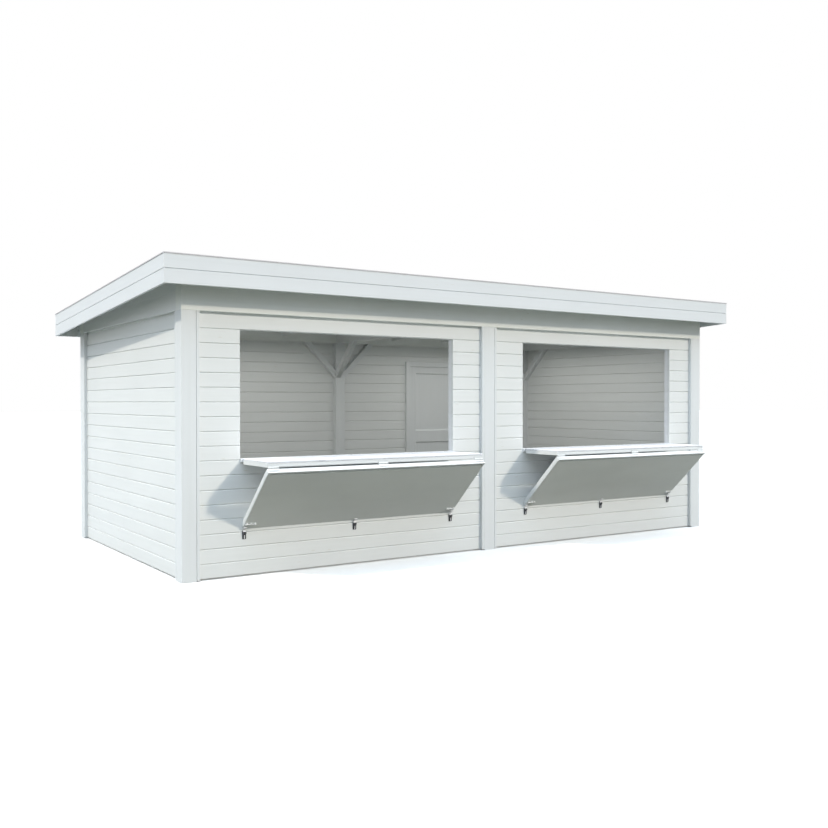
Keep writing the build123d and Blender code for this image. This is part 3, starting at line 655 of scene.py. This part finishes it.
SPRING = (0.006, 0.030, 0.002)  # width, height and thickness
SCREW = (0.0032, 0.001)  # radius and height of a head
SCREW_BAR = (0.00256, 0.0003, 0.0006)  # half sizes of a ridge beside the slot
SCREW_SLOT = 0.0012  # from the slot to the middle of a ridge


def plated_steel(name, tone, roughness, metallic=1.0):
    """Plated or blackened steel with a faint cloud in it."""
    finish = Finish(name, roughness, metallic)
    cloud = finish.noise(finish.place, *PLATING)
    dark = cloud.between(*PLATING_RANGE)
    finish.colour(finish.blend(dark, opaque(tone), opaque(tone, PLATING_DARK)))
    finish.rough(roughness + PLATING_ROUGH * cloud)
    finish.relief(finish.noise(finish.place, *PITS), *PIT_RELIEF)
    return finish.material


def add_rod(mesh, place, along, length, radius, segments=16):
    """A round bar whose middle is here, along X, Y or Z."""
    turn = {
        "X": Matrix.Rotation(math.pi / 2, 4, "Y"),
        "Y": Matrix.Rotation(math.pi / 2, 4, "X"),
        "Z": Matrix.Identity(4),
    }[along]
    bmesh.ops.create_cone(
        mesh,
        cap_ends=True,
        segments=segments,
        radius1=radius,
        radius2=radius,
        depth=length,
        matrix=Matrix.Translation(place) @ turn,
    )


def add_screw(mesh, place, way):
    """A low round screw head with its slot, facing along Y."""
    x, y, z = place
    radius, height = SCREW
    add_rod(mesh, (x, y + way * height / 2, z), "Y", height, radius, 12)
    half = Vector(SCREW_BAR)
    for gap in (-SCREW_SLOT, SCREW_SLOT):
        bar = Vector((x, y + way * height, z + gap))
        add_box(mesh, bar - half, bar + half)


def add_eased(mesh, low, high, width, segments, along=None):
    """Adds a box with its edges, or those along one axis, eased."""
    box = bmesh.new()
    add_box(box, low, high)
    ease(box, edges_along(box, along) if along else box.edges, width, segments)
    join(mesh, box)


zinc = plated_steel("zinc-plated steel", ZINC, roughness=0.32)
lever_steel = plated_steel("dark lever steel", LEVER_DARK, roughness=0.45, metallic=0.5)
plate_steel = plated_steel("dark latch plate", PLATE_DARK, roughness=0.45, metallic=0.6)
keep_steel = plated_steel("bright keep steel", KEEP_BRIGHT, roughness=0.4, metallic=0.3)
latch_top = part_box("latches")[1].z
latch_foot = latch_top - LATCH_PLATE[1]
plate_face = wall_face - LATCH_PLATE[2]
pin_z = latch_top - LATCH_PIN_DOWN
back = wall_face - LEVER_OUT
legs_end, fork, head = (pin_z + level for level in FORK_LEVELS)
latch_places = []
for place, x_low, x_high in props.values():
    inset = LATCH_PLATE[0] / 2
    latch_places += [x_low + inset, (x_low + x_high) / 2, x_high - inset]
plates, levers, catches = bmesh.new(), bmesh.new(), bmesh.new()
for x in latch_places:
    half = LATCH_PLATE[0] / 2
    low, high = (x - half, plate_face, latch_foot), (x + half, wall_face, latch_top)
    add_eased(plates, low, high, LATCH_ROUND, 3, "Y")
    for side in (-1, 1):
        for row in (latch_top - LATCH_SCREW[1], latch_foot + LATCH_SCREW[1]):
            add_screw(plates, (x + side * LATCH_SCREW[0], plate_face, row), -1)
        middle = x + side * CHEEK_OUT
        low = (middle - CHEEK[0] / 2, back - CHEEK_PAST, pin_z - CHEEK[1])
        high = (middle + CHEEK[0] / 2, plate_face, pin_z + CHEEK[2])
        add_eased(plates, low, high, LATCH_ROUND, 3, "X")
    wide, tall, out = LATCH_CATCH
    low = (x - wide / 2, plate_face - out, latch_top - tall)
    add_eased(catches, low, (x + wide / 2, plate_face, latch_top), CATCH_EASE, 2)
    lever, spring = bmesh.new(), bmesh.new()
    wide, tall, thick = SPRING
    low = (x - wide / 2, back - thick, fork - tall)
    add_box(spring, low, (x + wide / 2, back, fork))
    half, thick, width = LEVER
    add_box(lever, (x - half, back - thick, fork), (x + half, back, head))
    for side in (-1, 1):
        middle = x + side * (half - FORK / 2)
        low = (middle - FORK / 2, back - thick, legs_end)
        add_box(lever, low, (middle + FORK / 2, back, fork))
    ease(lever, lever.edges, width, 2)
    turn = (
        Matrix.Translation((x, back, pin_z))
        @ Matrix.Rotation(LEVER_LEAN, 4, "X")
        @ Matrix.Translation((-x, -back, -pin_z))
    )
    bmesh.ops.transform(lever, matrix=turn, verts=lever.verts)
    bmesh.ops.transform(spring, matrix=turn, verts=spring.verts)
    join(catches, spring)
    add_rod(lever, (x, back + LATCH_PIN[1], pin_z), "X", *LATCH_PIN)
    join(levers, lever)
finished(plates, "latch_plates", plate_steel, "kiosk", "steel", "latches")
finished(catches, "latch_catches", keep_steel, "kiosk", "steel", "latches")
finished(levers, "latch_levers", lever_steel, "kiosk", "steel", "latches")

# Keeps on the props' faces, each a folded plate with a lip for its latch,
# in the same bright steel as the latches' catches.
dress(keep_steel, "keeps_left", "keeps_right")

# Barrel bolts at both ends of each prop: a plate in the leaf's paint, three guides
# and a round bolt with a knob, in white.
BOLT_WHITE = (0.84, 0.85, 0.86)
BOLT_DOWN = PROP_LENGTH - 0.062  # of its middle, across the leaf
BOLT_IN = 0.006  # from the leaf's end to the plate
BOLT_LENGTH = 0.095
BOLT_RADIUS = 0.0045
BOLT_OUT = 0.0075  # from the leaf's face to the bolt's middle
BOLT_PLATE = (0.014, 0.0015)  # half its width and thickness
BOLT_PLATE_ROUND = (0.003, 2)  # radius and segments
GUIDE = (0.005, 0.009)  # half its length and half its width
GUIDE_IN = 0.014  # of the outer guides, from the plate's ends
GUIDE_FACES = (0.001, 0.0135)  # from the leaf's face
GUIDE_ROUND = (0.004, 3)
KNOB = (0.010, 0.0055)  # height and radius
KNOB_IN = 0.012  # from the plate's inner end
KNOB_OUT = 0.011  # from the leaf's face to its middle
bolt_white = sheet_paint("white bolt", BOLT_WHITE)
for side, (place, x_low, x_high) in props.items():
    bases, rods = bmesh.new(), bmesh.new()
    for start, knob in (
        (x_low + BOLT_IN, BOLT_LENGTH - KNOB_IN),
        (x_high - BOLT_IN - BOLT_LENGTH, KNOB_IN),
    ):
        half, thick = BOLT_PLATE
        low = (start, BOLT_DOWN - half, PROP_FACE)
        high = (start + BOLT_LENGTH, BOLT_DOWN + half, PROP_FACE + thick)
        add_eased(bases, low, high, *BOLT_PLATE_ROUND, "Z")
        middle = (start + BOLT_LENGTH / 2, BOLT_DOWN, PROP_FACE + BOLT_OUT)
        add_rod(rods, middle, "X", BOLT_LENGTH, BOLT_RADIUS)
        for guide in (GUIDE_IN, BOLT_LENGTH / 2, BOLT_LENGTH - GUIDE_IN):
            x = start + guide
            low = (x - GUIDE[0], BOLT_DOWN - GUIDE[1], PROP_FACE + GUIDE_FACES[0])
            high = (x + GUIDE[0], BOLT_DOWN + GUIDE[1], PROP_FACE + GUIDE_FACES[1])
            add_eased(rods, low, high, *GUIDE_ROUND, "X")
        add_rod(rods, (start + knob, BOLT_DOWN, PROP_FACE + KNOB_OUT), "Z", *KNOB)
    laid(bases, place)
    laid(rods, place)
    on_leaf(bases, "bolt_plates", leaf_paint, "prop", side, "leaf_paint", "bolts")
    on_leaf(rods, "bolt_barrels", bolt_white, "prop", side, "bolt_white", "bolts")

# Door at the back: a painted frame and a framed leaf with two bevelled panels, on
# three plated hinges, with a plated lever on a plate at each face.
DOOR_HINGES = (0.220, 0.940, 1.660)  # heights of their middles
HINGE_PLATE = 0.003
HINGE_SCREWS = (-0.036, -0.012, 0.012, 0.036)  # heights from a hinge's middle
HINGE_SCREW_IN = 0.016  # from the hinge plate's outer edge
HANDLE_PLATE = (0.040, 0.200, 0.005)  # width, height and thickness
HANDLE_SCREWS = 0.088  # above and below the plate's middle
KEYHOLE_DOWN = 0.032  # below the plate's middle
KEYHOLE = (0.009, 0.002, 0.0015, 0.005)  # rose's radius and depth, key's half sizes
DOOR_EASE = 0.0015
door_paint = painted_wood("painted door", FRAME_WHITE, "Z", knots=0.4)
planed("door_surround", "door_frame", post_paint, "frame_paint")
planed("door_panels", "door_leaf", door_paint, "board_paint", DOOR_EASE, "door")
dress(zinc, "door_hinges_frame", "door_hinges_leaf", "door_handles")
handle_low, handle_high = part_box("door_handles")
leaf_low, leaf_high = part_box("door_leaf")
plate_x = handle_high.x - HANDLE_PLATE[0] / 2
plate_z = handle_low.z + HANDLE_PLATE[1] / 2
for name, node, body, shift in (
    ("door_screws_frame", "door_hinges_frame", "kiosk", HINGE_SCREW_IN),
    ("door_screws_leaf", "door_hinges_leaf", "door", -HINGE_SCREW_IN),
):
    low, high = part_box(node)
    x = (low if shift > 0 else high).x + shift
    screws = bmesh.new()
    for height in DOOR_HINGES:
        for rise in HINGE_SCREWS:
            add_screw(screws, (x, leaf_high.y + HINGE_PLATE, height + rise), 1)
    if body == "door":
        for face, way in ((leaf_high.y, 1), (leaf_low.y, -1)):
            for rise in (-HANDLE_SCREWS, HANDLE_SCREWS):
                place = (plate_x, face + way * HANDLE_PLATE[2], plate_z + rise)
                add_screw(screws, place, way)
            radius, deep, wide, tall = KEYHOLE
            rose_y = face + way * (HANDLE_PLATE[2] + deep / 2)
            rose = Vector((plate_x, rose_y, plate_z - KEYHOLE_DOWN))
            add_rod(screws, rose, "Y", deep, radius, 24)
            key = Vector((wide, deep, tall))
            add_box(screws, rose - key, rose + key)
    finished(screws, name, zinc, body, "steel")

# Roof: rafters and lookouts under planed deck boards that run along the kiosk, and
# a slated sheet on top, laid in strips down the fall with welded laps.
PLANK = 0.146
PLANK_GAP = 0.002
PLANK_EASE = 0.003
SLATE = (0.20, 0.20, 0.21)
LAP_PITCH = 1.0
LAP = (0.080, 0.002)  # width and height
LAP_EASE = 0.0008
GRIT = (700.0, 2.0)  # scale and detail
DUST = (1.1, 4.0)
DUST_SHARES = (0.6, 0.4)  # of grit and dust in the tone
SLATE_DARK = 0.6
SLATE_ROUGH = 0.85
GRIT_RELIEF = (0.001, 0.6)
planed("roof_rafters", "rafters", across_paint, "roof_timber")
planed("roof_lookouts", "lookouts", across_paint, "roof_timber")
deck_low, deck_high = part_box("roof_deck")
front_low, front_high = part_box("fascia_front")
back_low, back_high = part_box("fascia_back")
FALL = (front_high.z - back_high.z) / (back_low.y - front_low.y)


def sheared(mesh, start):
    """Tips a mesh that was laid level to the roof's fall, from this place in Y."""
    shear = Matrix.Identity(4)
    shear[2][1] = -FALL
    shear[2][3] = FALL * start
    bmesh.ops.transform(mesh, matrix=shear, verts=mesh.verts)


def thickness(low, high):
    """The upright thickness of a sloping piece, from the corners of its box."""
    return high.z - low.z - FALL * (high.y - low.y)


planks = bmesh.new()
plank_foot = deck_high.z - thickness(deck_low, deck_high)
for n in range(math.ceil((deck_high.y - deck_low.y) / PLANK)):
    near = deck_low.y + n * PLANK
    far = min(near + PLANK - PLANK_GAP, deck_high.y)
    add_box(planks, (deck_low.x, near, plank_foot), (deck_high.x, far, deck_high.z))
ease(planks, edges_along(planks, "X"), PLANK_EASE)
sheared(planks, deck_low.y)
finished(planks, "roof_planks", beam_paint_with_painted_light, "kiosk", "roof_timber", "roof_deck")


def roofing(name, tone):
    """Slated roofing sheet, a little dusty."""
    finish = Finish(name, SLATE_ROUGH)
    grit = finish.noise(finish.place, *GRIT)
    dust = finish.noise(finish.place, *DUST)
    share = grit * DUST_SHARES[0] + dust * DUST_SHARES[1]
    finish.colour(finish.blend(share, opaque(tone), opaque(tone, SLATE_DARK)))
    finish.relief(grit, *GRIT_RELIEF)
    return finish.material


skin_low, skin_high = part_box("roof_skin")
skin = bmesh.new()
skin_foot = skin_high.z - thickness(skin_low, skin_high)
add_box(skin, (skin_low.x, skin_low.y, skin_foot), skin_high)
for n in range(math.floor((skin_high.x - skin_low.x) / LAP_PITCH)):
    x = skin_low.x + (n + 1) * LAP_PITCH
    low = (x - LAP[0], skin_low.y, skin_high.z)
    high = (x, skin_high.y, skin_high.z + LAP[1])
    add_eased(skin, low, high, LAP_EASE, 1, "Y")
sheared(skin, skin_low.y)
slate = roofing("slated roofing", SLATE)
finished(skin, "roof_sheet", slate, "kiosk", "roof_felt", "roof_skin")

# Fascia: two boards a side with an open joint on a strip behind, mitred at the
# corners, under a folded trim of coated metal.
FASCIA_WHITE = (0.79, 0.81, 0.83)
TRIM_TONE = (0.68, 0.65, 0.67)
fascia_paint = {
    along: painted_wood(f"painted fascia {along}", FASCIA_WHITE, along, knots=0.5)
    for along in "XY"
}
FASCIA_EDGE = 0.002
FASCIA_JOINT = 0.004
FASCIA_HEIGHT = thickness(front_low, front_high)
JOINT_STRIP = 0.012  # above and below the joint
JOINT_DEPTH = 0.007


def fascia_boards(side, along, way):
    """Two boards in place of a fascia, tipped to the fall and mitred at both ends."""
    low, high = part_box(f"fascia_{side}")
    head, foot = front_high.z, front_high.z - FASCIA_HEIGHT
    middle = (head + foot) / 2
    half = FASCIA_JOINT / 2
    axis = AXES[along]
    outer = high if way > 0 else low
    mesh = bmesh.new()
    for z_low, z_high in ((foot, middle - half), (middle + half, head)):
        add_box(mesh, (low.x, low.y, z_low), (high.x, high.y, z_high))
    ease(mesh, edges_along(mesh, along), FASCIA_EDGE)
    strip_low, strip_high = low.copy(), high.copy()
    strip_low.z, strip_high.z = middle - JOINT_STRIP, middle + JOINT_STRIP
    (strip_high if way > 0 else strip_low)[1 - axis] -= way * JOINT_DEPTH
    strip = bmesh.new()
    add_box(strip, strip_low, strip_high)
    join(mesh, strip)
    sheared(mesh, front_low.y)
    for end in (-1, 1):
        corner, normal = Vector((0, 0, 0)), Vector((0, 0, 0))
        corner[axis] = (high if end > 0 else low)[axis]
        corner[1 - axis] = outer[1 - axis]
        normal[axis], normal[1 - axis] = end, -way
        cut_off(mesh, corner, normal.normalized())
    bmesh.ops.recalc_face_normals(mesh, faces=mesh.faces)
    name, node = f"fascia_boards_{side}", f"fascia_{side}"
    finished(mesh, name, fascia_paint[along], "kiosk", "fascia_paint", node)


for side, along, way in (
    ("front", "X", -1),
    ("back", "X", 1),
    ("left", "Y", -1),
    ("right", "Y", 1),
):
    fascia_boards(side, along, way)
dress(sheet_paint("coated trim", TRIM_TONE), "roof_trim")

# Ground and camera. The camera is the one that was fitted to the photograph's
# straight edges. The ground looks white and gives little light back to the walls.
POST_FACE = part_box("corner_posts")[0].y
EYE = Vector((-5.4662, -6.9021 + POST_FACE, 1.3923))
YAW, PITCH = 0.5886, -0.0125
FOCAL_PIXELS, FRAME_PIXELS = 929.14, 828
SENSOR = 36.0
FAR_CLIP = 500.0
camera_data = bpy.data.cameras.new("camera")
camera_data.sensor_width = SENSOR
camera_data.lens = FOCAL_PIXELS / FRAME_PIXELS * SENSOR
camera_data.clip_end = FAR_CLIP
camera = bpy.data.objects.new("camera", camera_data)
camera.location = EYE
camera.rotation_euler = (math.pi / 2 + PITCH, 0.0, -YAW)
bpy.context.scene.collection.objects.link(camera)
bpy.context.scene.camera = camera

GROUND_REACH = 120.0
GROUND_WHITE = (0.96, 0.96, 0.96)
GROUND_BOUNCE = (0.064, 0.070, 0.048)  # the light the ground gives back
SEEN_RAYS = ("Is Camera Ray", "Is Glossy Ray", "Is Transmission Ray")
ground = bmesh.new()
bmesh.ops.create_grid(ground, x_segments=1, y_segments=1, size=GROUND_REACH)
ground_data = bpy.data.meshes.new("ground")
ground.to_mesh(ground_data)
ground.free()
ground_finish = Finish("pale ground", roughness=0.9)
ground_finish.surface.inputs["Base Color"].default_value = opaque(GROUND_WHITE)


def shown_as(tree, hidden, shown):
    """Shows one shader to the camera, in mirrors and through glass, else the other."""
    rays = add_node(tree, "ShaderNodeLightPath").outputs
    seen = rays[SEEN_RAYS[0]]
    for kind in SEEN_RAYS[1:]:
        larger = {"operation": "MAXIMUM"}
        seen = add_node(tree, "ShaderNodeMath", larger, [seen, rays[kind]]).outputs[0]
    values = [seen, hidden.outputs[0], shown.outputs[0]]
    return add_node(tree, "ShaderNodeMixShader", None, values).outputs[0]


tree = ground_finish.tree
bounce = add_node(tree, "ShaderNodeBsdfDiffuse", None, {"Color": opaque(GROUND_BOUNCE)})
tree.links.new(
    shown_as(tree, bounce, ground_finish.surface),
    tree.nodes["Material Output"].inputs["Surface"],
)
ground_data.materials.append(ground_finish.material)
ground_object = bpy.data.objects.new("ground", ground_data)
bpy.context.scene.collection.objects.link(ground_object)

# Light: a sun from the left and one from the front, a lamp in each bay of the room,
# a sky that is stronger overhead, and a white backdrop that gives no light itself.
SIDE_SUN = 1.9
SIDE_SUN_COLOUR = (1.0, 0.93, 0.81)
SIDE_SUN_ANGLE = math.radians(2.0)
SIDE_WAY = (0.63, 0.02, -0.77)
FRONT_SUN = 1.38
FRONT_SUN_COLOUR = (1.0, 0.89, 0.73)
FRONT_SUN_ANGLE = math.radians(4.0)
FRONT_WAY = (-0.295, 0.48, -0.322)
ROOM_LAMP = 16.5
ROOM_LAMP_COLOUR = (1.0, 1.0, 0.97)
ROOM_LAMP_SIZE = 2.2
ROOM_LAMP_PLACE = (1.5, 0.1, 2.05)
HORIZON, ZENITH = 0.45, 2.0  # strength of the sky's light
HORIZON_COLOUR = (1.0, 1.0, 1.0)
ZENITH_COLOUR = (0.73, 0.86, 1.0)
ZENITH_FROM = 0.8  # the height in the sky where the zenith's light begins
BACKDROP = (1.0, 1.0, 1.0)


def add_light(name, kind, strength, colour, **settings):
    """A light, and its settings."""
    data = bpy.data.lights.new(name, kind)
    data.energy = strength
    data.color = colour
    for setting, value in settings.items():
        setattr(data, setting, value)
    light = bpy.data.objects.new(name, data)
    bpy.context.scene.collection.objects.link(light)
    return light


def shine(light, way):
    """Turns a light to shine this way."""
    light.rotation_euler = Vector(way).to_track_quat("-Z", "Y").to_euler()


shine(
    add_light("side sun", "SUN", SIDE_SUN, SIDE_SUN_COLOUR, angle=SIDE_SUN_ANGLE),
    SIDE_WAY,
)
shine(
    add_light("front sun", "SUN", FRONT_SUN, FRONT_SUN_COLOUR, angle=FRONT_SUN_ANGLE),
    FRONT_WAY,
)
for bay in (-1, 1):
    lamp = add_light("room lamp", "AREA", ROOM_LAMP, ROOM_LAMP_COLOUR, shape="SQUARE")
    lamp.data.size = ROOM_LAMP_SIZE
    lamp.location = (bay * ROOM_LAMP_PLACE[0], *ROOM_LAMP_PLACE[1:])
    lamp.visible_camera = False

world = bpy.data.worlds.new("sky")
bpy.context.scene.world = world
world.use_nodes = True
sky = world.node_tree


def glow(colour, strength):
    """A background light in the sky."""
    values = {"Color": opaque(colour), "Strength": strength}
    return add_node(sky, "ShaderNodeBackground", None, values)


way = add_node(sky, "ShaderNodeTexCoord").outputs["Generated"]
height = add_node(sky, "ShaderNodeSeparateXYZ", None, [way]).outputs["Z"]
climb = add_node(
    sky,
    "ShaderNodeMapRange",
    {"interpolation_type": "SMOOTHSTEP"},
    {"Value": height, "From Min": 0.0, "From Max": ZENITH_FROM},
).outputs[0]
low_sky, high_sky = glow(HORIZON_COLOUR, HORIZON), glow(ZENITH_COLOUR, ZENITH)
layers = [climb, low_sky.outputs[0], high_sky.outputs[0]]
fill = add_node(sky, "ShaderNodeMixShader", None, layers)
sky.links.new(
    shown_as(sky, fill, glow(BACKDROP, 1.0)),
    sky.nodes["World Output"].inputs["Surface"],
)

bpy.context.scene.view_settings.view_transform = "Standard"
